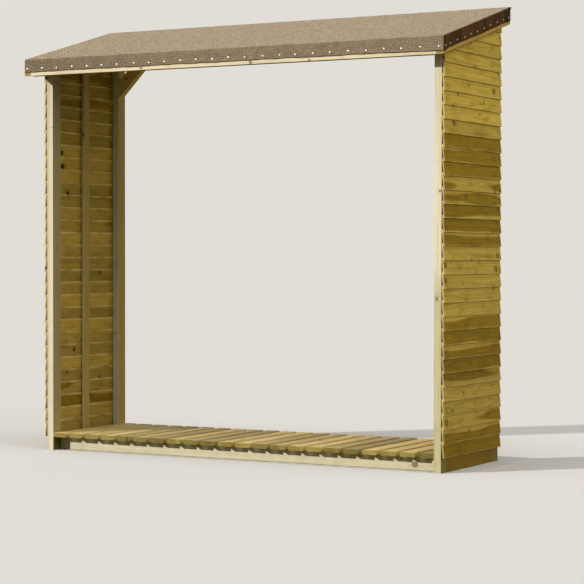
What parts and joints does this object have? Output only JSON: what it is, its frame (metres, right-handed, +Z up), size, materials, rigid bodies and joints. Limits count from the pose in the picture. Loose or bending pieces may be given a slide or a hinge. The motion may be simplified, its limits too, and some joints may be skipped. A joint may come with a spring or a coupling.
{
  "type": "log store",
  "caption": "Open-fronted timber log store with overlapping board sides, a slatted floor and a felted pent roof.",
  "frame": {"origin": "on the ground, under the middle of the store's outer box", "axes": "+Z up, +X to the right seen from the open front, +Y from the open front towards the back"},
  "size_m": [1.972, 0.65, 1.8556],
  "materials": {
    "framing_timber": "planed pressure-treated softwood, pale with a faint green tint",
    "cladding_boards": "sawn thin pressure-treated softwood boards, olive yellow with brown streaks",
    "floor_slats": "pressure-treated softwood slats, greenish end grain",
    "roof_boards": "sawn softwood boards",
    "mineral_felt": "mineral-surfaced bitumen felt, brownish grey, gritty and matt",
    "clout_nails": "bright galvanised nail heads"
  },
  "bodies": {
    "root": {"front_post_left": "framing_timber", "rear_post_left": "framing_timber", "side_bottom_rail_left": "framing_timber", "mid_batten_left": "framing_timber", "side_cladding_left": "cladding_boards", "knee_brace_left": "framing_timber", "barge_board_left": "framing_timber", "front_post_right": "framing_timber", "rear_post_right": "framing_timber", "side_bottom_rail_right": "framing_timber", "mid_batten_right": "framing_timber", "side_cladding_right": "cladding_boards", "knee_brace_right": "framing_timber", "barge_board_right": "framing_timber", "front_bearer": "framing_timber", "middle_bearer": "framing_timber", "rear_bearer": "framing_timber", "front_top_rail": "framing_timber", "rear_top_rail": "framing_timber", "front_fascia": "framing_timber", "floor_slat_01": "floor_slats", "floor_slat_02": "floor_slats", "floor_slat_03": "floor_slats", "floor_slat_04": "floor_slats", "floor_slat_05": "floor_slats", "floor_slat_06": "floor_slats", "floor_slat_07": "floor_slats", "floor_slat_08": "floor_slats", "floor_slat_09": "floor_slats", "floor_slat_10": "floor_slats", "floor_slat_11": "floor_slats", "floor_slat_12": "floor_slats", "floor_slat_13": "floor_slats", "floor_slat_14": "floor_slats", "floor_slat_15": "floor_slats", "floor_slat_16": "floor_slats", "floor_slat_17": "floor_slats", "floor_slat_18": "floor_slats", "floor_slat_19": "floor_slats", "floor_slat_20": "floor_slats", "floor_slat_21": "floor_slats", "floor_slat_22": "floor_slats", "roof_boards": "roof_boards", "roof_felt": "mineral_felt"}
  },
  "joints": []
}
